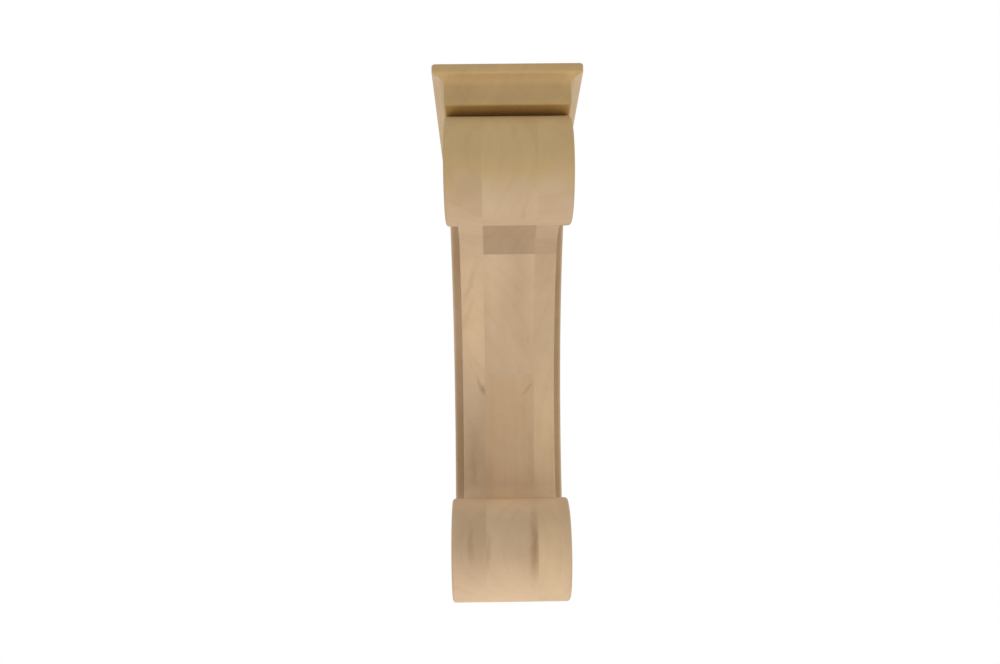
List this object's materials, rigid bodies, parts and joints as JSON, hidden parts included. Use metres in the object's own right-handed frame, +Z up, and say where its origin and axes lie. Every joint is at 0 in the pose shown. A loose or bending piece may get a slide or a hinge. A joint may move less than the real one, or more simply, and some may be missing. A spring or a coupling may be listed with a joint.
{
  "type": "corbel",
  "caption": "Wooden scroll corbel with a moulded cap board, for carrying a counter, mantel or shelf at a wall.",
  "frame": {"origin": "middle of the flat back at the wall, halfway between the foot and the top of the cap", "axes": "+X to the right seen from the front, +Y into the wall, +Z up"},
  "size_m": [0.105, 0.2544, 0.366],
  "materials": {
    "maple_block": "raw sanded maple",
    "maple_cap": "raw sanded maple"
  },
  "bodies": {
    "root": {"scroll_body": "maple_block", "cap_board": "maple_cap"}
  },
  "joints": []
}
